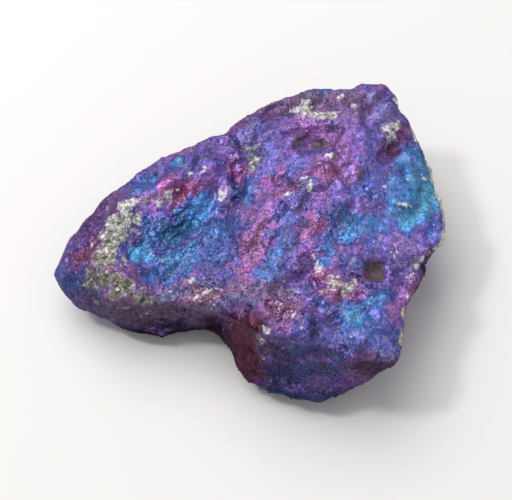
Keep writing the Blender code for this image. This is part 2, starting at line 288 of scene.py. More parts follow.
# Crust of dull minerals: how pale it is away from its patches, how proud it stands, then strength and
# paleness of each patch
CRUST_PALENESS = 0.9
CRUST_RISE = 0.12
CRUSTS = (
    # the band across the left lobe
    (-27.2, 5.2, 17.9, 3.4, 2.6, 25, 1, 0.86),
    (-21.5, 7.3, 18, 3, 0.9, 8, 0.6, 0.75),
    (-29.8, 1.6, 17.8, 3.6, 3.2, 60, 1, 0.78),
    (-31.2, -2.7, 17.3, 3.8, 2.7, 75, 1, 0.68),
    (-30.8, -6.6, 16.7, 3, 2.6, 60, 0.9, 0.58),
    (-35.2, -9.4, 15.4, 2.8, 1.8, 30, 0.8, 0.3),
    (-31.6, -11.6, 15.9, 3.4, 2.6, -10, 0.85, 0.33),
    (-27.6, -13.4, 16.3, 3.6, 2.6, 0, 0.95, 0.4),
    (-23.2, -15.6, 15.8, 2.2, 1.2, 0, 0.8, 0.28),
    # specks on the lobe
    (-18.2, 9.6, 17.4, 1.2, 0.9, 20, 0.85, 0.95),
    (-21.3, 7.8, 16.8, 1.1, 0.8, 0, 0.7, 0.9),
    # ridge between lobe and body
    (0.4, 16.4, 20.4, 1.6, 0.9, 80, 0.7, 0.6),
    (-0.3, 20.4, 21.5, 2.6, 1, 110, 0.7, 0.45),
    # curved streaks near the back edge
    (12.2, 28.4, 24.7, 3, 1.2, 105, 0.9, 0.92),
    (14.4, 28.6, 24.8, 1.6, 1.6, 0, 0.6, 0.9),
    (15.4, 26.6, 24.4, 3.8, 1.2, -5, 0.9, 0.92),
    (18.8, 26.6, 25, 1.8, 0.9, 20, 0.8, 0.9),
    # knob
    (32.8, 24.4, 22, 2, 1, 65, 0.95, 1),
    (30.9, 22.2, 22.4, 1.8, 0.9, 65, 0.75, 0.85),
    # lower right
    (19.2, -15.4, 20.8, 3.4, 1.9, 10, 1, 0.86),
    (22.7, -9.8, 21.2, 1.2, 0.9, 0, 0.6, 0.6),
    (3.7, -27, 20.5, 1.4, 1, 0, 0.8, 0.7),
)

# Dark olive patches, smooth and dull: strength
OLIVES = (
    (10.8, 20.6, 21.3, 3.4, 1.5, -10, 0.6),
    (15.4, 20.4, 21.8, 3.2, 1.5, 5, 0.66),
    (24.9, 11, 24.1, 2.2, 1.3, 60, 0.5),
    (19.6, 15.4, 24.2, 2, 1.2, 0, 0.5),
)

# Pale chips: strength
CHIPS = (
    (20.6, 31.2, 25.5, 1.2, 0.7, 10, 1),
    (23.5, 28.8, 26.4, 1, 0.5, 130, 1),
    (33.3, 31.4, 23.2, 0.6, 0.5, 0, 1),
    (17.4, 16.1, 23.6, 1.1, 0.6, 0, 1),
    (15.6, 14, 23.7, 0.6, 0.4, 0, 0.9),
    (12, 9.8, 25, 1.4, 0.5, 20, 0.9),
    (13.3, 7.8, 25.8, 1.3, 0.5, 75, 0.9),
    (8.6, 6.1, 24.2, 1.2, 0.5, 10, 0.9),
    (34.4, 6.1, 19.9, 1.6, 0.5, 0, 0.9),
    (35.9, 13.4, 18.8, 0.5, 0.4, 0, 1),
    (39.8, 13.7, 18.4, 0.6, 0.4, 0, 1),
    (30.3, 10, 22.1, 0.5, 0.4, 0, 1),
    (15.3, -10.6, 21.5, 1.1, 0.5, 100, 0.75),
    (4, -27.2, 21.7, 0.7, 0.5, 0, 0.9),
    (-12.5, -12.1, 17.3, 0.9, 0.6, 70, 1),
    (-6.2, 10.3, 16.5, 1.5, 1.3, 0, 0.85),
    (-18.3, 9.8, 17.7, 0.9, 0.6, 20, 0.9),
    (-21, 7.9, 16.8, 0.8, 0.5, 0, 0.8),
    (-13.6, 15, 18.3, 1.4, 0.4, 70, 0.62),
    (-10.4, 15.6, 19.2, 0.8, 0.6, 0, 0.6),
    (-9.3, -15.2, 18, 1, 0.6, 20, 0.9),
    (-11.5, -16.4, 17.5, 0.7, 0.5, 60, 0.9),
    (-7, -16.9, 18.1, 0.7, 0.4, 0, 0.8),
    (9.5, -23.1, 20.7, 0.7, 0.5, 30, 0.8),
    (7, -20.1, 21.2, 0.6, 0.4, 0, 0.8),
)

# Lighter and darker places, mostly painted light and shade and partly the tarnish's own lightness: how
# light or dark each one is made
TONES_WITH_PAINTED_LIGHT = (
    # painted light and lighter tarnish on the lobe
    (-11, 7.8, 15.2, 4.5, 2.8, 30, 1.75),
    (-1.9, 15.6, 16.8, 3, 1.8, 95, 1.3),
    (-13.5, 12.4, 18, 4, 2.4, 25, 1.1),
    (-20.5, 9, 18, 4.4, 2.6, 30, 1.75),
    (-21.2, 6.8, 16, 3.8, 2.2, 5, 2.2),
    (-19, 10.4, 18, 2.4, 1.6, 0, 2.1),
    (-23.5, -2.5, 16, 3.4, 3, 40, 1.3),
    (-8.2, 16, 19, 2.8, 2.4, 0, 1.9),
    # painted light and lighter tarnish on the plateau and the right facet
    (15, 26.4, 24.5, 4.5, 3.2, 0, 1.35),
    (11, 18, 22.5, 5.5, 4, 0, 1.3),
    (5, 18.5, 22.6, 3.4, 3, 0, 1.3),
    (26, 17, 24.6, 5, 6.5, 0, 1.75),
    (30.5, 27.5, 23.8, 4, 4.5, 0, 1.6),
    (22.5, 7, 23, 4, 4.4, 0, 1.7),
    (31, 9, 21, 5.5, 4.6, 60, 2),
    (26.5, 2.5, 22, 4, 3, 0, 1.7),
    (26, -3.6, 21.4, 4.6, 3, 0, 1.6),
    (15.5, -3.6, 22.8, 1.8, 3.4, 0, 1.5),
    (34.5, 17, 20.4, 4.5, 4, 60, 1.55),
    (35.5, 1.5, 18.2, 4.5, 3.4, 0, 1.6),
    (40.5, 0.5, 16.5, 4, 4, 0, 2),
    (33, -2.6, 19.4, 6.5, 5, 0, 2.05),
    # painted light and lighter tarnish at the front right
    (15, -6.2, 22.7, 2.6, 3.4, 0, 1.5),
    (21, -10.6, 21.4, 5, 4, 0, 1.45),
    (13, -21, 21.4, 5, 4, 0, 1.4),
    (5.6, 2.4, 23, 2.4, 2.6, 66, 1.4),
    (29, -21.5, 20.6, 3.6, 4.4, 0, 1.4),
    (26.5, -29.2, 20.2, 5, 2.6, 0, 1.9),
    # painted shade and darker tarnish
    (-6.7, -3.1, 17.5, 6, 3, 62, 0.85),
    (-8.7, -11, 17.7, 5.4, 3.4, 15, 0.74),
    (-4, -14.6, 19.2, 4.6, 2.6, 0, 0.74),
    (-5, -17, 18.4, 5, 1.8, 0, 0.75),
    (4.2, -25.6, 20.2, 2.6, 2.4, 0, 0.7),
    (0.5, 28, 21, 6.5, 3.2, 40, 0.78),
    (1.5, 20.5, 21.6, 4, 2.4, 60, 0.85),
    (20.8, 24, 25.2, 2.4, 3, 0, 0.85),
    (15.3, 6.5, 25.3, 2.2, 3, 0, 0.85),
    (10.6, -2.8, 22.9, 5.5, 2.4, 72, 0.56),
    (-36.5, -3.6, 15.7, 4.4, 3.4, 35, 0.46),
    (-34.5, 4.9, 15.2, 9, 2.6, 52, 0.5),
    (-37.5, -11.5, 11, 6, 3, -30, 0.66),
    (-18.5, -13.6, 15.8, 3.4, 1.6, 0, 0.78),
    (-13.5, -8.2, 16.6, 3.6, 2, 20, 0.8),
    (-15.5, 3.4, 13, 4, 2.2, 30, 0.64),
    (-24.5, -1.6, 16.4, 2, 1.2, 40, 0.6),
    (-2.8, 10.4, 16.8, 4.6, 1.8, 95, 0.6),
    (33.6, 20.2, 20.2, 4.4, 1.5, 62, 0.6),
    (22, 29.5, 25.6, 5, 2, 0, 0.7),
    (9, 30.5, 23.2, 6, 2.4, 15, 0.72),
    (1.5, 17, 21.4, 2.4, 3.4, 0, 0.75),
    (24.5, -14.1, 19.7, 3, 1.6, 0, 0.75),
    (16, -27, 20.3, 4, 2, 0, 0.92),
    (19.8, -30.4, 21.2, 4.2, 1.9, 0, 0.72),
    (-1, -21.8, 18.8, 4.8, 2.8, -20, 0.24),
    (1.6, -25, 20, 3.2, 3, 0, 0.24),
    (39.4, -8.8, 17.2, 5, 2, 72, 0.12),
    (2, -16.4, 19.6, 5, 2, 0, 0.8),
    (-2.5, -20.6, 19.2, 5, 2, 0, 0.27),
    (-1.2, -27.2, 6.4, 4.6, 4.4, 0, 0.36),
    (37, 4.4, 18, 3.2, 2.4, 0, 0.85),
    (7.4, -3.6, 22.4, 4.2, 1.6, 70, 0.8),
)

# Grooves and raised lines: both ends, half width and rise
LINES = (
    # trough at the step up to the body
    ((-2.6, 17.9, 16.8), (-2.6, 8.9, 17), 1.9, -0.9),
    ((-2.6, 8.9, 17), (-5.5, 5.4, 16), 1.6, -0.6),
    # basin
    ((-19, 0.4, 14.4), (-12.5, 5.4, 13.4), 1.7, -0.8),
    ((-17.5, 5.4, 14.2), (-13, 7.9, 14.2), 1.2, -0.6),
    ((-24.8, -2.1, 16.4), (-22.5, -3.1, 16.2), 1.3, -0.8),
    ((-21.5, 1.4, 15.2), (-19, -5.1, 15.7), 1.1, -0.5),
    ((-16, -2.6, 15.2), (-10.5, 2.4, 15), 1.2, 0.6),
    # hollows by the pale arc
    ((9, 9.7, 23), (11, 8, 24.2), 1.5, -1),
    ((10.8, 10, 24.6), (13.2, 9.2, 25.7), 0.9, 0.7),
    ((13.2, 9.2, 25.7), (13.2, 7, 25.8), 0.9, 0.6),
    # olive cavity
    ((10, 21.6, 21.5), (18.5, 20.3, 22.7), 1.8, -0.5),
    # crack below the knob, and the one across the middle
    ((33.6, 22, 20.8), (30.4, 18, 21), 1.1, -0.4),
    ((26, 8, 23), (29.8, 4, 21.2), 1, -0.7),
    ((11.5, -9.1, 22.2), (17.5, -7.6, 22.2), 0.9, -0.5),
    ((7, 4.9, 23.8), (5, -5.6, 22.1), 0.9, -0.4),
    # step in front of the magenta patch
    ((13.5, -13.6, 19.8), (18.5, -18.1, 19.2), 1.4, -0.6),
    ((23, -12.1, 20.4), (26.5, -15.1, 19.4), 1.2, -0.5),
    # crumbly terraces
    ((-14, -14.4, 17), (-5.5, -14, 18.2), 0.9, -0.5),
    ((-12.5, -17.2, 16.6), (-5, -17.4, 17.8), 0.9, 0.5),
    ((3.5, -19.6, 20.8), (8.5, -24.1, 20.8), 1, -0.6),
    ((9.5, -19.1, 21), (12.5, -23.6, 20.8), 1, 0.5),
)

# The square olive pit: middle, half side, depth and how olive it is
PIT_MIDDLE = (27.3, -11.2, 19.5)
PIT_HALF = 2.15
PIT_DEPTH = 0.3
PIT_OLIVE = 0.72

# Thin pale lines of chips, each by the places that it runs through
VEINS = (
    ((8.8, 9.3, 24.2), (10.4, 9.6, 24.8), (11.8, 10.8, 25.2), (12.6, 12.6, 24.6)),
    ((6.6, 5.8, 24), (8, 6.8, 24.2), (9.4, 7.2, 24.6)),
    ((13.3, -7.8, 22.6), (14.8, -9.9, 21.8), (14.2, -11.8, 21.2)),
    ((14.8, -9.9, 21.8), (16.6, -12, 21), (13.2, -12.2, 21)),
    ((17.2, 8, 25.6), (16.8, 4.8, 25.2)),
    ((19.4, 8.4, 25.4), (18.8, 5.6, 25)),
    ((17.2, -13, 21), (20.4, -13.2, 21), (23.2, -12.8, 20.8)),
    ((21.4, -18.2, 20), (23.4, -20.4, 20)),
    ((9.2, -17.2, 21), (11.2, -20.2, 21), (12.6, -22.8, 20.8)),
    ((4.6, -20.6, 21), (7.2, -22.2, 21), (8, -25, 21)),
    ((-14, -18.2, 16.6), (-10, -18.6, 17.4), (-7, -18.6, 18)),
    ((33, -2.2, 19.6), (38, -1.8, 18.2), (42, -1.4, 16.2)),
    ((-1.4, 21.9, 21), (1, 17, 21.2), (0.8, 14.2, 21)),
    ((31.6, 21.8, 21.4), (32.8, 24.4, 22), (33.6, 26.8, 22.4)),
)

# Their half width, their paleness, and the share of crystals along them
VEIN_HALF_WIDTH = 0.38
VEIN_PALENESS = 0.75
VEIN_CRYSTALS = 0.4

# Dusty places, less strong in colour: share
DUSTY = (
    (-11, -15.4, 17.4, 7.5, 2.8, 0, 1),
    (-17, -15, 16, 4, 2, 0, 0.8),
    (-2, -16.4, 19.4, 6, 3, 0, 0.8),
    (5.5, -16.8, 20.4, 6.5, 2.8, 0, 0.9),
    (8.5, -21.5, 20.8, 4.5, 4, 20, 0.7),
    (-31, -10.5, 15.8, 6, 3, -30, 0.35),
    (-22, -16.5, 11.5, 15, 4.5, 0, 1),
    (-34, -13.2, 10, 6, 2.4, -30, 0.8),
    (-21.5, 8.6, 17.2, 4, 1.8, 10, 0.6),
    (-9, -18.2, 15.5, 5, 2.6, 0, 0.9),
    (1.5, -3.2, 21.2, 7.5, 3, 72, 0.4),
    (14, -1.8, 24, 4.6, 2.6, 66, 0.4),
    (10.5, 7.6, 24.4, 4, 2, 20, 0.5),
    (12, 31.5, 23, 10, 3, 5, 0.9),
    (24, 30.8, 25.4, 8, 2.4, -6, 0.8),
    (25, 26.8, 26, 5, 2, -10, 0.7),
    (28, -31.5, 16, 8, 3, 0, 0.6),
    (0.5, 28, 21, 6, 3, 40, 0.5),
    (32, 27, 23.6, 4, 4, 0, 0.6),
    (17, 27.5, 24.6, 5.5, 3, 0, 0.6),
    (34.5, -5, 19.2, 5, 4, 0, 0.5),
    (19.5, -14.5, 20.8, 5.5, 2.6, 0, 0.5),
    (0.5, 17, 21, 3.5, 2, 90, 0.5),
)

# Rubble of loose chips: strength. Then the share of pale chips in it, and of brown ones
RUBBLE = (
    (-9.8, -16, 17.8, 5.5, 2.4, 0, 1),
    (8, -22.1, 21, 5.6, 4.2, 20, 0.9),
    (3.5, -18.4, 20.4, 3, 1.4, 0, 0.6),
    (-0.8, -7.6, 20.6, 3.4, 2.4, 66, 0.6),
    (20, -15.3, 20.8, 5, 2.8, 8, 0.8),
    (15.4, -10.8, 21.4, 1.8, 1.4, 100, 0.9),
    (-17.5, 9.9, 18.2, 3.6, 1.4, 25, 0.7),
    (-22, 8.4, 17.4, 2.6, 1.4, 25, 0.8),
    (10.5, 8.6, 24.6, 3.6, 1.2, 20, 0.8),
    (17, 15, 23.8, 2.2, 1.6, 0, 0.7),
    (19, 30.4, 25.4, 4.5, 1.4, -8, 0.8),
    (15.5, 26.9, 24.6, 5, 2.2, -10, 0.55),
    (32.4, 23.8, 22, 2.8, 1.6, 65, 0.9),
    (0.2, 17.9, 21, 3.8, 1.4, 100, 0.6),
    (-33, -7.1, 16.5, 4.4, 2.6, 60, 0.5),
    (-29, -13, 16.4, 4.6, 2.4, -10, 0.5),
    (36.5, -12.6, 18.2, 5, 1.6, 60, 0.45),
    (-18, -19.1, 12.2, 14, 2.6, 0, 0.35),
    (0, -17.2, 19.2, 4, 2.4, 0, 0.45),
    (-2, -14.1, 19.4, 3, 2, 0, 0.4),
    (-8, -13, 18, 7, 3, 15, 0.55),
    (7.5, -18.5, 21.5, 5, 3, 0, 0.55),
    (-3, -17, 19, 4.6, 1.8, 0, 0.6),
    (22, 29.5, 25.2, 4.5, 2.5, 0, 0.45),
    (-34, -12.5, 12, 5, 3, -30, 0.35),
    (-22, -17, 12.5, 13, 4, 0, 0.4),
    (36.5, -11.5, 19.1, 4, 3, 0, 0.5),
    (34, -4, 19.2, 6, 3.4, 0, 0.5),
    (12, 30.5, 23.6, 9, 3, 10, 0.45),
    (19, -30, 21, 5, 2.2, 0, 0.5),
    (14.5, -25, 20.6, 5, 3.5, 0, 0.45),
    (-28.2, 4, 18, 3.6, 2.4, 20, 0.4),
    (8, -31, 13, 10, 5, 0, 0.42),
    (22, -32.5, 12, 8, 4, 0, 0.42),
    (4, -31, 8, 2, 2, 0, 0.7),
)
RUBBLE_PALE = 0.24
RUBBLE_BROWN = 0.22

# The worn rim down the right side, its half width, and how bright it is away from its brightest places
RIM = (
    (36.9, 26.8, 19.6), (37.8, 25, 18.9), (38.6, 22.9, 18.7), (39.4, 21, 18.3), (39.8, 18.8, 18.2),
    (40.8, 16.9, 17.9), (41.4, 15.1, 17.3), (41.6, 13.2, 17.1), (42, 11, 17), (43, 8.3, 18),
    (43.3, 6.6, 17.3), (43.6, 4.9, 16.8), (43.7, 3.2, 16.1), (43.7, 1.6, 15.2), (43.6, -0.3, 15),
    (42.6, -2.3, 14.8), (40.1, -4.6, 16.6), (38.2, -6.4, 17.1), (36.6, -9.4, 18.7), (35.6, -11.6, 19.1),
    (35.1, -14, 18.9), (34.7, -16.6, 18.6), (34.1, -18.6, 18.7), (33.2, -20.8, 18.6), (33, -22.6, 18.8),
    (32.9, -24.6, 18.9), (32.7, -26.5, 18.8), (32.6, -28.1, 18.2),
)
RIM_HALF_WIDTH = 0.9
RIM_USUAL = 0.30

# Places where the rim is brightest: share
RIM_CORNERS = (
    (37.7, 24.8, 18.9, 2.4, 1.6, 60, 0.9),
    (40.9, 16, 17.7, 5, 1.6, 75, 0.6),
    (43, 8, 17.6, 5, 2, 80, 1),
    (43.2, -1.2, 15, 3, 2.4, 70, 1.5),
    (36.6, -9.4, 18.7, 1.2, 1.2, 0, 0.8),
    (32.6, -28.6, 18, 1.8, 1.8, 0, 0.9),
)

# The flat map for a baked finish: map units per millimetre, the sides that face +x, -x, +y, -y, +z and
# -z, each as its two axes and its corner on the map, and a crystal's face in its square
MAP_NAME = "OFBake"
MAP_SCALE = 1 / 163
MAP_SIDES = (
    (2, 1, (0.76, 0.55)),
    (2, 1, (0.57, 0.55)),
    (2, 0, (0.76, 0.005)),
    (2, 0, (0.57, 0.005)),
    (0, 1, (0.01, 0.01)),
    (0, 1, (0.01, 0.47)),
)
MAP_FACE = ((0.15, 0.15), (0.85, 0.15), (0.15, 0.85))

# Relief of the grains: its usual share, and the share in places that differ
USUAL_RELIEF = 0.65
RELIEFS = (
    (-18, 0.4, 15.2, 9, 7, 30, 2),
    (-30, -2.6, 17.2, 9, 5, 70, 1.2),
    (-14, 10.4, 17.7, 6, 3.5, 25, 1.2),
    (-10.5, -15.6, 17.2, 6, 2.5, 0, 1.7),
    (8, -21.6, 20.7, 6, 4, 0, 1.5),
    (1, -2.6, 21.2, 9, 3.5, 66, 0.9),
    (20, 22.4, 24.2, 14, 8, 20, 0.4),
    (37, 9.4, 18.7, 11, 7, 80, 0.4),
    (28.2, -10.7, 19.2, 2.6, 2.5, -10, 0.2),
    (13, 20.9, 21.2, 4, 1.4, 5, 0.3),
    (-1.5, -23.6, 13.2, 4.5, 5, 0, 0.3),
    (0, -23, 19.4, 4, 2.8, -20, 0.2),
    (9, -30.6, 16.2, 8, 4, 0, 0.8),
)

# Colours of the tarnish from its thin end to its thick end
FILM_STOPS = (
    (0, (0.215, 0.04, 0.082)),
    (0.14, (0.25, 0.068, 0.188)),
    (0.28, (0.228, 0.088, 0.282)),
    (0.4, (0.164, 0.085, 0.3)),
    (0.52, (0.092, 0.076, 0.285)),
    (0.64, (0.056, 0.092, 0.315)),
    (0.77, (0.056, 0.168, 0.405)),
    (0.89, (0.06, 0.238, 0.43)),
    (1, (0.052, 0.222, 0.319)),
)

# Colours of the crust from dark to pale
CRUST_STOPS = (
    (0, (0.045, 0.046, 0.03)),
    (0.35, (0.12, 0.124, 0.086)),
    (0.65, (0.27, 0.286, 0.23)),
    (0.85, (0.43, 0.425, 0.42)),
    (1, (0.72, 0.69, 0.72)),
)

# Colours of dust, painted glints, olive, brown crystals, worn rim and pale chips. A pair is mixed by the
# grain
DUST_COLOUR = (0.18, 0.128, 0.155, 1)
PAINTED_GLINT_COLOUR = (0.62, 0.58, 0.8, 1)
OLIVE_COLOURS = ((0.064, 0.05, 0.04, 1), (0.118, 0.092, 0.07, 1))
BROWN_COLOURS = ((0.09, 0.05, 0.046, 1), (0.2, 0.12, 0.1, 1))
RIM_COLOURS = ((0.3, 0.28, 0.23, 1), (0.8, 0.74, 0.6, 1))
CHIP_COLOURS = ((0.46, 0.42, 0.44, 1), (0.9, 0.87, 0.89, 1))

# Grains that the material draws, and how far they tilt the surface's normal
BIG_GRAIN, SMALL_GRAIN = 0.62, 0.34
BIG_TILT, SMALL_TILT = 0.20, 0.12

# Noise that the material draws: size and detail
SOFT_NOISE, EDGE_NOISE, DUST_NOISE, CRUST_NOISE = (1, 2), (2.4, 1), (1.8, 2), (0.7, 2)

# Painted highlights on thin cell walls: cell size, width and step, where they show, and which grains also
# get one
EDGE_SIZE, EDGE_WIDTH, PAINTED_EDGE_HIGHLIGHT = 1.1, 0.12, 0.09
EDGE_PLACES, PAINTED_SHINE_GRAINS = (0.42, 0.62), (0.80, 0.95)

# Ranges: the low and high end of what is read, and what each end gives
SOFT_STEP = (0.3, 0.7, -0.05, 0.05)
BIG_GRAIN_STEP = (0, 1, -0.035, 0.035)
DARK_GRAIN_STEP = (0, 0.25, -0.09, 0)
CRUST_STEP = (0.3, 0.7, -0.28, 0.28)
CRUST_GRAIN_STEP = (0, 1, -0.07, 0.07)
LOOSE_DUST = (0.46, 0.68, 0, 0.32)
PLACED_DUST = (0.1, 1, 0, 0.62)
CHIP_SHADE = (0.2, 1, 0.35, 1)
# Deep painted shade also gets more metal, which darkens it further
METAL_BY_TONE_AND_PAINTED_SHADE = (0.1, 0.6, 0.95, 0.5)
ROUGHNESS = (0, 1, 0.38, 0.7)

# The specular level and tint of what isn't metal, and the gamma by which steps look even
SPECULAR_LEVEL = 0.3
SPECULAR_TINT = (0.55, 0.55, 0.65, 1)
SCREEN_GAMMA = 2.2

# Sockets of a colour mix node: both colours, and the result
MIX_FIRST, MIX_SECOND, MIX_RESULT = 6, 7, 2


def smooth_step(value, low, high):
    """0 below low, 1 above high, and an even ease between them."""
    share = np.clip((value - low) / (high - low), 0.0, 1.0)
    return share * share * (3 - 2 * share)


def new_object(name, data):
    """A new object in the scene."""
    thing = bpy.data.objects.new(name, data)
    bpy.context.scene.collection.objects.link(thing)
    return thing


def add_camera():
    """The photograph's view, from above the long front side."""
    back = Vector((0, -math.cos(CAMERA_ELEVATION), math.sin(CAMERA_ELEVATION)))
    data = bpy.data.cameras.new("camera")
    data.lens = LENS
    data.sensor_width = SENSOR
    data.clip_start = NEAREST_SEEN
    camera = new_object("camera", data)
    camera.location = (CAMERA_TARGET + back * CAMERA_DISTANCE) * MM
    camera.rotation_euler = back.to_track_quat("Z", "Y").to_euler()
    bpy.context.scene.camera = camera


def add_area_light(name, location, size, power, colour):
    """A soft square light that faces the middle of the lump."""
    data = bpy.data.lights.new(name, "AREA")
    data.size = size
    data.energy = power
    data.color = colour
    light = new_object(name, data)
    light.location = location
    light.rotation_euler = Vector(location).to_track_quat("Z", "Y").to_euler()


def add_floor():
    """A plain pale floor."""
    corners = [(x * FLOOR_HALF, y * FLOOR_HALF, 0) for x, y in ((-1, -1), (1, -1), (1, 1), (-1, 1))]
    mesh = bpy.data.meshes.new("floor")
    mesh.from_pydata(corners, [], [(0, 1, 2, 3)])
    floor = new_object("floor", mesh)
    material = bpy.data.materials.new("pale_floor")
    material.use_nodes = True
    shader = material.node_tree.nodes["Principled BSDF"]
    shader.inputs["Base Color"].default_value = FLOOR_COLOUR
    shader.inputs["Roughness"].default_value = FLOOR_ROUGHNESS
    mesh.materials.append(material)


def add_light():
    """Plain soft light from all round and from above."""
    world = bpy.data.worlds.new("studio")
    bpy.context.scene.world = world
    world.use_nodes = True
    background = world.node_tree.nodes["Background"]
    background.inputs["Color"].default_value = SKY_COLOUR
    background.inputs["Strength"].default_value = SKY_STRENGTH
    for light in LIGHTS:
        add_area_light(*light)
    bpy.context.scene.view_settings.view_transform = "Standard"


def modified(mesh, kind, **settings):
    """A new mesh: the given one as a single modifier of this kind leaves it."""
    holder = new_object("holder", mesh)
    modifier = holder.modifiers.new(kind, kind)
    for name, value in settings.items():
        setattr(modifier, name, value)
    graph = bpy.context.evaluated_depsgraph_get()
    result = bpy.data.meshes.new_from_object(holder.evaluated_get(graph))
    bpy.data.objects.remove(holder, do_unlink=True)
    bpy.data.meshes.remove(mesh)
    return result


def vectors_of(mesh, name):
    """One vector for each of the mesh's points."""
    flat = np.empty(len(mesh.vertices) * 3, np.float32)
    mesh.vertices.foreach_get(name, flat)
    return flat.reshape(-1, 3).astype(float)


def points_of(mesh):
    """The mesh's points in millimetres."""
    return vectors_of(mesh, "co") / MM


def normals_of(mesh):
    """The mesh's point normals."""
    return vectors_of(mesh, "normal")


def triangles_of(mesh):
    """The mesh's triangles as point numbers."""
    mesh.calc_loop_triangles()
    flat = np.empty(len(mesh.loop_triangles) * 3, np.int32)
    mesh.loop_triangles.foreach_get("vertices", flat)
    return flat.reshape(-1, 3)


def put_points(mesh, points):
    """Moves the mesh's points to these places in millimetres."""
    mesh.vertices.foreach_set("co", (points * MM).astype(np.float32).ravel())
    mesh.update()


def along_grain(points):
    """The points with the grain's direction turned to X and shortened."""
    turned = points @ np.array(Matrix.Rotation(-GRAIN_TURN, 3, "Z")).T
    turned[:, 0] /= GRAIN_STRETCH
    return turned


def cell_randoms(centres, seed):
    """Three random numbers from -1 to 1 for each cell."""
    mixed = np.sin(np.round(centres, CELL_DECIMALS) @ CELL_MIX + seed) * CELL_SCALE
    return 2 * (mixed - np.floor(mixed)) - 1


def grain_heights(points, size, slope, level, roundness):
    """Heights of a surface packed with grains. Each has a tilted, rounded top, and the highest shows."""
    places = along_grain(points) / size
    centres = np.array([noise.voronoi(Vector(place))[1] for place in places])
    away = places[:, None, :] - centres
    tilts = cell_randoms(centres, TILT_SEED)
    levels = cell_randoms(centres, LEVEL_SEED)[:, :, 0] * level
    tops = slope * size * (away * tilts).sum(axis=2) - roundness * size * (away**2).sum(axis=2) + levels
    return tops.max(axis=1)


def noise_at(points, size, offset):
    """Smooth noise of this grain size at the points, from about -1 to 1."""
    shift = Vector((offset, 2 * offset, 3 * offset))
    return np.array([2 * noise.noise(Vector(place) + shift) for place in points / size])


def speckle(points, layers, shift=0.0):
    """Layers of noise laid over each other."""
    return sum(share * noise_at(points, size, offset + shift) for share, size, offset in layers)


def wander(points, size, offset):
    """A smooth wandering vector at each point."""
    return np.stack([noise_at(points, size, offset + AXIS_OFFSET * axis) for axis in range(3)], axis=1)


def wandered(points):
    """The points moved at random: far for the loose patches, and only a little for sharp marks."""
    coarse, fine = wander(points, *COARSE_WANDER), wander(points, *FINE_WANDER)
    return [points + far * coarse + near * fine for far, near in (LOOSE_REACH, SHARP_REACH)]


def line_share(points, start, end, half_width):
    """1 on the line between two places, falling to 0 at its half width."""
    start, end = np.array(start), np.array(end)
    run = end - start
    share = np.clip((points - start) @ run / (run @ run), 0, 1)
    away = np.linalg.norm(points - start - share[:, None] * run, axis=1)
    return smooth_step(1 - away / half_width, *LINE_EDGE)


def line_heights(points):
    """Heights of the single grooves and raised lines."""
    return sum(rise * line_share(points, start, end, half) for start, end, half, rise in LINES)


def path_share(points, paths, half_width):
    """1 on any of the paths, falling to 0 at their half width."""
    pairs = [pair for path in paths for pair in zip(path, path[1:])]
    return np.max([line_share(points, start, end, half_width) for start, end in pairs], axis=0)


def pit_share(points):
    """How far each point lies in the square pit with its flat bottom."""
    away = np.abs(points - PIT_MIDDLE)[:, :2].max(axis=1) / PIT_HALF
    above = points[:, 2] > PIT_MIDDLE[2] / 2
    return smooth_step(1 - away, *PIT_EDGE) * above


def patch_weights(points, patch, mottle=0.0):
    """How much of a patch each point takes, from 0 to 1. The mottle frays its edge and opens gaps."""
    x, y, z, half_length, half_width, turn = patch[:FIRST_VALUE]
    turn = math.radians(turn)
    away = points - (x, y, z)
    along = (away[:, 0] * math.cos(turn) + away[:, 1] * math.sin(turn)) / half_length
    across = (away[:, 1] * math.cos(turn) - away[:, 0] * math.sin(turn)) / half_width
    up = away[:, 2] / PATCH_HEIGHT
    depth = 1 - np.sqrt(along**2 + across**2 + up**2)
    return smooth_step(depth + mottle, *PATCH_EDGE)


def blended(values, points, patches, mottles=(0.0,), column=FIRST_VALUE, share=1.0):
    """The values with each patch's own value, in this column, laid over them in turn."""
    for number, patch in enumerate(patches):
        weights = share * patch_weights(points, patch, mottles[number % len(mottles)])
        values = values + (patch[column] - values) * weights
    return values


def strongest(points, patches):
    """The strongest patch at each point, from 0 to 1."""
    return np.max([patch_weights(points, patch) * patch[FIRST_VALUE] for patch in patches], axis=0)


def frayed(shares, mottle):
    """The patch shares with gaps and a ragged edge, and nothing added away from the patches."""
    return shares + mottle * np.minimum(FRAY_REACH * shares, 1)


def relief_share(points):
    """How strong the relief is at each point."""
    return blended(np.full(len(points), USUAL_RELIEF), points, RELIEFS)


def skin_heights(points):
    """How far the broken grains, lines, pit and crust stand out from the solid at each point."""
    heights = sum(grain_heights(points, *grains) for grains in GRAINS)
    heights -= np.mean(heights)
    heights *= relief_share(points)
    near = points + RELIEF_REACH * wander(points, *RELIEF_WANDER)
    heights += line_heights(near) - PIT_DEPTH * pit_share(near)
    heights += CRUST_RISE * strongest(near, CRUSTS) * (1 + speckle(points, CRUST_LUMPS))
    return heights * smooth_step(points[:, 2], *GROUND_FADE)


def skin_mesh(node):
    """The fine copy of the solid, with its broken grains."""
    mesh = node.data.copy()
    mesh.materials.clear()
    mesh = modified(mesh, "REMESH", mode="VOXEL", voxel_size=SKIN_VOXEL * MM)
    mesh = modified(mesh, "SMOOTH", factor=SMOOTHING_SHARE, iterations=SMOOTHING_ROUNDS)
    points, normals = points_of(mesh), normals_of(mesh)
    points += normals * skin_heights(points)[:, None]
    points[:, 2] = np.maximum(points[:, 2], 0.0)
    put_points(mesh, points)
    mesh = modified(mesh, "TRIANGULATE")
    share = SKIN_TRIANGLES / len(mesh.polygons)
    return modified(mesh, "DECIMATE", ratio=share) if share < 1 else mesh


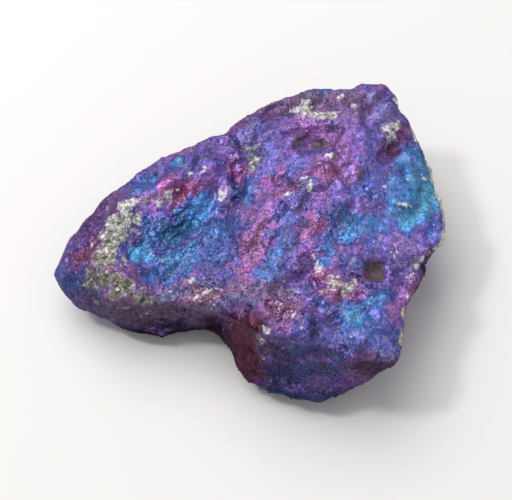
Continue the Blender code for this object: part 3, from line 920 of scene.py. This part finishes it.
def film_values(points, spots, wall):
    """The tarnish thickness at each point, from its streaks, its patches and its speckle."""
    streaks = along_grain(points)
    film = USUAL_FILM + speckle(streaks, FILM_STREAKS)
    mottles = [
        speckle(streaks, STREAK_MOTTLE, number) + speckle(points, ROUND_MOTTLE, number)
        for number in range(MOTTLES)
    ]
    film = blended(film, spots, TARNISH, mottles)
    film = blended(film, spots, WALL_FILM_AND_PAINTED_SHADE, mottles, share=wall)
    return np.clip(film + speckle(points, FILM_SPECKLE), 0, 1)


def crust_values(points, spots):
    """How much crust each point has, and how pale that crust is."""
    crust = frayed(strongest(spots, CRUSTS), speckle(points, CRUST_FRAY))
    paleness = blended(np.full(len(points), CRUST_PALENESS), spots, CRUSTS, column=SECOND_VALUE)
    return smooth_step(crust, *CRUST_EDGE), np.clip(paleness + speckle(points, CRUST_SPECKLE), 0, 1)


def olive_values(points, near):
    """How olive each point is, in the dark patches and in the pit."""
    olive = frayed(strongest(near, OLIVES), speckle(points, OLIVE_FRAY))
    pit = PIT_OLIVE * pit_share(near) + speckle(points, PIT_SPECKLE)
    return smooth_step(np.maximum(olive, pit), *OLIVE_EDGE)


def pale_values(points, near):
    """How much of a pale chip each point has, on its own or in a thin line."""
    pale = np.maximum(strongest(near, CHIPS), VEIN_PALENESS * path_share(near, VEINS, VEIN_HALF_WIDTH))
    return smooth_step(frayed(pale, speckle(points, PALE_FRAY)), *PALE_EDGE)


def rim_values(points):
    """How much of the worn rim's pale line each point has."""
    worn = RIM_USUAL + strongest(points, RIM_CORNERS) + speckle(points, RIM_FRAY)
    return smooth_step(path_share(points, (RIM,), RIM_HALF_WIDTH) * worn, *RIM_EDGE)


def painted_light_and_tone(points, spots, wall):
    """How light or dark each point is made: mostly painted light and shade, partly the tarnish's own
    lightness.
    """
    tone_with_painted_light_and_shade = blended(np.ones(len(points)), spots, TONES_WITH_PAINTED_LIGHT)
    return blended(tone_with_painted_light_and_shade, spots, WALL_FILM_AND_PAINTED_SHADE, column=SECOND_VALUE, share=wall)


def surface_values(points, normals):
    """What the material reads at each point."""
    # How far each point faces sideways: the walls' painted shade falls only there
    wall = 1 - smooth_step(normals[:, 2], *WALL_SLOPE)
    spots, near = wandered(points)
    crust, crust_paleness = crust_values(points, spots)
    return {
        "film": film_values(points, spots, wall),
        "crust": crust,
        "crust_paleness": crust_paleness,
        "rim": rim_values(points),
        "olive": olive_values(points, near),
        "pale": pale_values(points, near),
        "dust": strongest(spots, DUSTY),
        # Painted light and shade, partly the tarnish's own lightness
        "tone_with_painted_light_and_shade": painted_light_and_tone(points, spots, wall),
    }


def put_values(mesh, name, values):
    """Keeps one number per point for the material to read."""
    layer = mesh.attributes.new(name, "FLOAT", "POINT")
    layer.data.foreach_set("value", values.astype(np.float32))


def put_map(mesh, places):
    """Lays the mesh's face corners at these places on its flat map."""
    layer = mesh.uv_layers.new(name=MAP_NAME)
    layer.uv.foreach_set("vector", places.astype(np.float32).ravel())


def lay_skin_map(mesh):
    """Each triangle is laid flat on the side that it faces most."""
    points, corners = points_of(mesh), triangles_of(mesh)
    facing = normals_of(mesh)[corners].sum(axis=1)
    axis = np.argmax(np.abs(facing), axis=1)
    turned = facing[np.arange(len(facing)), axis] < 0
    low = points.min(axis=0)
    places = np.empty((len(corners), 3, 2))
    for number, (first, second, corner) in enumerate(MAP_SIDES):
        chosen = (2 * axis + turned) == number
        flat = (points - low)[corners[chosen]][:, :, [first, second]]
        places[chosen] = flat * MAP_SCALE + corner
    put_map(mesh, places)


def lay_crystal_map(mesh, number, sides):
    """Each crystal has a square of the map, and each of its faces a smaller square in that one."""
    across, inner = math.ceil(math.sqrt(number)), math.ceil(math.sqrt(sides))
    squares = np.stack([np.arange(number) % across, np.arange(number) // across], axis=1) * inner
    smaller = np.stack([np.arange(sides) % inner, np.arange(sides) // inner], axis=1)
    places = squares[:, None, None] + smaller[None, :, None] + np.array(MAP_FACE)
    put_map(mesh, places / (across * inner))


class Nodes:
    """A short way to write a material's nodes."""

    def __init__(self, material):
        material.use_nodes = True
        self.tree = material.node_tree
        self.shader = self.tree.nodes["Principled BSDF"]

    def new(self, kind, **settings):
        """A new node of this kind with these settings."""
        node = self.tree.nodes.new(kind)
        for name, value in settings.items():
            setattr(node, name, value)
        return node

    def put(self, target, value):
        """Sets a socket to a plain value, or joins another node's result to it."""
        if isinstance(value, (int, float, tuple)):
            target.default_value = value
        else:
            self.tree.links.new(value, target)

    def worked(self, kind, *values, **settings):
        """The first result of a new node of this kind, with these values in its first sockets."""
        node = self.new(kind, **settings)
        for socket, value in zip(node.inputs, values):
            self.put(socket, value)
        return node.outputs[0]

    def maths(self, operation, *values):
        """Arithmetic on numbers."""
        return self.worked("ShaderNodeMath", *values, operation=operation)

    def vector(self, operation, *values):
        """Arithmetic on vectors."""
        return self.worked("ShaderNodeVectorMath", *values, operation=operation)

    def mix(self, share, first, second, blend="MIX"):
        """The second colour laid over the first in this share."""
        node = self.new("ShaderNodeMix", data_type="RGBA", blend_type=blend)
        self.put(node.inputs[0], share)
        self.put(node.inputs[MIX_FIRST], first)
        self.put(node.inputs[MIX_SECOND], second)
        return node.outputs[MIX_RESULT]

    def stepped(self, colour, step):
        """The colour with the same step added to all three parts, in steps that look even."""
        seen = self.worked("ShaderNodeGamma", colour, 1 / SCREEN_GAMMA)
        moved = self.vector("MAXIMUM", self.vector("ADD", seen, step), (0, 0, 0))
        return self.worked("ShaderNodeGamma", moved, SCREEN_GAMMA)

    def attribute(self, name):
        """A number that the mesh keeps at each point."""
        return self.new("ShaderNodeAttribute", attribute_name=name).outputs["Fac"]

    def between(self, value, low, high, new_low=0.0, new_high=1.0):
        """The value carried over from one range to another."""
        return self.worked("ShaderNodeMapRange", value, low, high, new_low, new_high)

    def ramp(self, value, stops):
        """The colour at this place between the stops."""
        node = self.new("ShaderNodeValToRGB")
        elements = node.color_ramp.elements
        while len(elements) < len(stops):
            elements.new(0.5)
        for element, (place, colour) in zip(elements, stops):
            element.position = place
            element.color = (*colour, 1)
        self.put(node.inputs[0], value)
        return node.outputs[0]

    def pattern(self, kind, size):
        """A texture node laid over the object, with this size in millimetres."""
        node = self.new(kind)
        self.put(node.inputs["Vector"], self.new("ShaderNodeTexCoord").outputs["Object"])
        node.inputs["Scale"].default_value = 1 / (size * MM)
        return node

    def grains(self, size):
        """A random vector for each cell of this size, whole and as three numbers."""
        colour = self.pattern("ShaderNodeTexVoronoi", size).outputs["Color"]
        numbers = self.new("ShaderNodeSeparateXYZ")
        self.put(numbers.inputs[0], colour)
        return colour, numbers.outputs

    def cell_walls(self, size, width):
        """1 on the thin walls between cells of this size, and 0 from this share of the size inwards."""
        node = self.pattern("ShaderNodeTexVoronoi", size)
        node.feature = "DISTANCE_TO_EDGE"
        return self.between(node.outputs["Distance"], 0.0, width, 1.0, 0.0)

    def noise(self, size, detail):
        """Smooth noise of this size, from 0 to 1."""
        node = self.pattern("ShaderNodeTexNoise", size)
        node.inputs["Detail"].default_value = detail
        return node.outputs[0]


def film_step(nodes, big, small):
    """How much lighter or darker each small place is: soft mottling, grains, and painted highlights on
    thin cell walls and some grains.
    """
    # Painted highlights: pale steps standing in for light caught by tiny facets
    places = nodes.between(nodes.noise(*EDGE_NOISE), *EDGE_PLACES)
    painted_highlight_edges = nodes.maths("MULTIPLY", nodes.cell_walls(EDGE_SIZE, EDGE_WIDTH), places)
    painted_sheen = nodes.maths("MAXIMUM", painted_highlight_edges, nodes.between(small[1], *PAINTED_SHINE_GRAINS))
    soft = nodes.between(nodes.noise(*SOFT_NOISE), *SOFT_STEP)
    step = nodes.maths("ADD", soft, nodes.between(big[1], *BIG_GRAIN_STEP))
    step = nodes.maths("ADD", step, nodes.between(small[0], *DARK_GRAIN_STEP))
    return nodes.maths("ADD", step, nodes.maths("MULTIPLY", painted_sheen, PAINTED_EDGE_HIGHLIGHT))


def tarnish_colour(nodes, big, small):
    """The film's colour at each small place, dusty where the surface crumbled, with painted highlights
    and painted glints.
    """
    loose = nodes.between(nodes.noise(*DUST_NOISE), *LOOSE_DUST)
    dust = nodes.maths("MAXIMUM", loose, nodes.between(nodes.attribute("dust"), *PLACED_DUST))
    colour = nodes.mix(dust, nodes.ramp(nodes.attribute("film"), FILM_STOPS), DUST_COLOUR)
    colour = nodes.stepped(colour, film_step(nodes, big, small))
    # Painted glints: the colour is mixed toward a pale highlight colour where the mesh says so
    return nodes.mix(nodes.attribute("glint"), colour, PAINTED_GLINT_COLOUR)


def crust_colour(nodes, small):
    """The dull crust's colour at each small place."""
    mottle = nodes.between(nodes.noise(*CRUST_NOISE), *CRUST_STEP)
    colour = nodes.ramp(nodes.maths("ADD", nodes.attribute("crust_paleness"), mottle), CRUST_STOPS)
    return nodes.stepped(colour, nodes.between(small[2], *CRUST_GRAIN_STEP))


def chip_colour(nodes, small):
    """The pale chips' colour, darker under the place's painted shade."""
    shade = nodes.between(nodes.attribute("tone_with_painted_light_and_shade"), *CHIP_SHADE)
    return nodes.mix(1.0, nodes.mix(small[2], *CHIP_COLOURS), shade, "MULTIPLY")


def surface_colour(nodes, big, small):
    """The tarnish, made lighter and darker by painted light and shade, with the other minerals and the
    worn rim laid over it.
    """
    colour = tarnish_colour(nodes, big, small)
    colour = nodes.mix(nodes.attribute("brown"), colour, nodes.mix(small[2], *BROWN_COLOURS))
    # Painted light and shade: the colour is multiplied by the lightness kept on the mesh, which also
    # holds each crystal's random lightness
    colour = nodes.mix(1.0, colour, nodes.attribute("tone_with_painted_light_and_shade"), "MULTIPLY")
    colour = nodes.mix(nodes.attribute("crust"), colour, crust_colour(nodes, small))
    colour = nodes.mix(nodes.attribute("olive"), colour, nodes.mix(small[2], *OLIVE_COLOURS))
    colour = nodes.mix(nodes.attribute("rim"), colour, nodes.mix(small[2], *RIM_COLOURS))
    return nodes.mix(nodes.attribute("pale"), colour, chip_colour(nodes, small))


def plain_share(nodes):
    """How much of each small place is a mineral without tarnish."""
    plain = nodes.maths("MAXIMUM", nodes.attribute("crust"), nodes.attribute("olive"))
    return nodes.maths("MAXIMUM", plain, nodes.attribute("pale"))


def grain_normal(nodes, coarse, fine):
    """The surface's normal, tilted at random for each grain."""
    normal = nodes.new("ShaderNodeNewGeometry").outputs["Normal"]
    for grain, tilt in ((fine, SMALL_TILT), (coarse, BIG_TILT)):
        away = nodes.vector("SUBTRACT", grain, (0.5, 0.5, 0.5))
        normal = nodes.vector("ADD", normal, nodes.vector("MULTIPLY", away, (tilt, tilt, tilt)))
    return nodes.vector("NORMALIZE", normal)


def tarnish_material():
    """Thin tarnish over granular sulphide, with other minerals where the mesh says so."""
    material = bpy.data.materials.new("tarnished_sulphide")
    nodes = Nodes(material)
    inputs = nodes.shader.inputs
    coarse, big = nodes.grains(BIG_GRAIN)
    fine, small = nodes.grains(SMALL_GRAIN)
    plain = plain_share(nodes)
    # More metal where the painted shade is deep, which darkens it further
    metal = nodes.between(nodes.attribute("tone_with_painted_light_and_shade"), *METAL_BY_TONE_AND_PAINTED_SHADE)
    nodes.put(inputs["Base Color"], surface_colour(nodes, big, small))
    nodes.put(inputs["Metallic"], nodes.maths("MULTIPLY", metal, nodes.maths("SUBTRACT", 1.0, plain)))
    nodes.put(inputs["Roughness"], nodes.between(plain, *ROUGHNESS))
    inputs["Specular IOR Level"].default_value = SPECULAR_LEVEL
    inputs["Specular Tint"].default_value = SPECULAR_TINT
    nodes.put(inputs["Normal"], grain_normal(nodes, coarse, fine))
    return material


def scattered(mesh, number):
    """Random places all over the surface, with the surface's normal at each."""
    corners = points_of(mesh)[triangles_of(mesh)]
    across = np.cross(corners[:, 1] - corners[:, 0], corners[:, 2] - corners[:, 0])
    areas = np.linalg.norm(across, axis=1)
    chosen = RANDOM.choice(len(corners), number, p=areas / areas.sum())
    shares = RANDOM.dirichlet((1, 1, 1), number)
    places = (corners[chosen] * shares[:, :, None]).sum(axis=1)
    return places, across[chosen] / areas[chosen][:, None]


def crystal_places(skin, number, usual_share):
    """Places for crystals, thickest where the surface crumbled, with the surface's normal at each."""
    places, normals = scattered(skin, number)
    share = relief_share(places) * usual_share
    share += strongest(places, RUBBLE) + VEIN_CRYSTALS * path_share(places, VEINS, VEIN_HALF_WIDTH)
    keep = (RANDOM.uniform(size=len(places)) < share) & (places[:, 2] > CRYSTAL_LOWEST)
    return places[keep], normals[keep]


def crystal_corners(number, directions):
    """Corners of randomly turned, uneven crystals round the origin, for a half size of 1."""
    directions = np.array(directions, float)
    directions /= np.linalg.norm(directions, axis=1, keepdims=True)
    turned = directions @ np.linalg.qr(RANDOM.normal(size=(number, 3, 3)))[0]
    return turned * RANDOM.uniform(*CRYSTAL_UNEVENNESS, size=(number, len(directions), 1))


def crystal_values(places, normals):
    """The surface's values at each crystal, with a random lightness of its own, a few painted glints, and
    rubble's chips.
    """
    number = len(places)
    values = surface_values(places, normals)
    rubble = strongest(wandered(places)[0], RUBBLE)
    chance = RANDOM.uniform(size=number)
    is_pale = chance < RUBBLE_PALE * rubble
    is_brown = ~is_pale & (chance < (RUBBLE_PALE + RUBBLE_BROWN) * rubble)
    values["pale"] = np.maximum(values["pale"], is_pale * RANDOM.uniform(*PALE_RANGE, number))
    values["brown"] = is_brown * RANDOM.uniform(*BROWN_RANGE, number)
    values["tone_with_painted_light_and_shade"] = values["tone_with_painted_light_and_shade"] * np.exp(RANDOM.normal(0, CRYSTAL_TONE_SPREAD, number))
    # Painted glints on a few crystals
    values["glint"] = RANDOM.uniform(*PAINTED_GLINT_RANGE, number) * (RANDOM.uniform(size=number) < PAINTED_GLINT_SHARE)
    return values


def crystal_mesh(skin, name, number, size, shape, usual_share):
    """Small crystals that stand half out of the surface."""
    directions, sides = shape
    places, normals = crystal_places(skin, number, usual_share)
    number = len(places)
    sizes = size * np.exp(RANDOM.normal(0, CRYSTAL_SPREAD, number)).clip(max=CRYSTAL_LARGEST)
    corners = crystal_corners(number, directions) * sizes[:, None, None]
    out = (corners * normals[:, None, :]).sum(axis=2, keepdims=True)
    corners -= out * normals[:, None, :] * (1 - CRYSTAL_FLATNESS)
    corners += (places - normals * sizes[:, None] * CRYSTAL_SINK)[:, None, :]
    faces = np.array(sides)[None] + len(directions) * np.arange(number)[:, None, None]
    mesh = bpy.data.meshes.new(name)
    mesh.from_pydata((corners.reshape(-1, 3) * MM).tolist(), [], faces.reshape(-1, 3).tolist())
    for value, numbers in crystal_values(places, normals).items():
        put_values(mesh, value, np.repeat(numbers, len(directions)))
    lay_crystal_map(mesh, number, len(sides))
    return mesh


def add_piece(name, mesh, material):
    """A visible piece of the lump, with the lump's finish."""
    mesh.materials.append(material)
    piece = new_object(name, mesh)
    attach(piece, "root")
    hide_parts("ore_lump")


def make_lump(node):
    """The lump's visible surface and the crystals on it, which stand for the solid."""
    skin = skin_mesh(node)
    for name, values in surface_values(points_of(skin), normals_of(skin)).items():
        put_values(skin, name, values)
    lay_skin_map(skin)
    material = tarnish_material()
    for kind in CRYSTAL_KINDS:
        add_piece(kind[0], crystal_mesh(skin, *kind), material)
    add_piece("ore_surface", skin, material)


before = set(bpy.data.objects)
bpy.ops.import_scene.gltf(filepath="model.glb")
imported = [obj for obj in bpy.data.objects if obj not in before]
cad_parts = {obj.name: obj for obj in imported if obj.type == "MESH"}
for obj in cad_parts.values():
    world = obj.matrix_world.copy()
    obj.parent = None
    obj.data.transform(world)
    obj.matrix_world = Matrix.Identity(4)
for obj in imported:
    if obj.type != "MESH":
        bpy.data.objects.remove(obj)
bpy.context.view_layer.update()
add_camera()
add_floor()
add_light()
make_lump(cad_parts["ore_lump"])
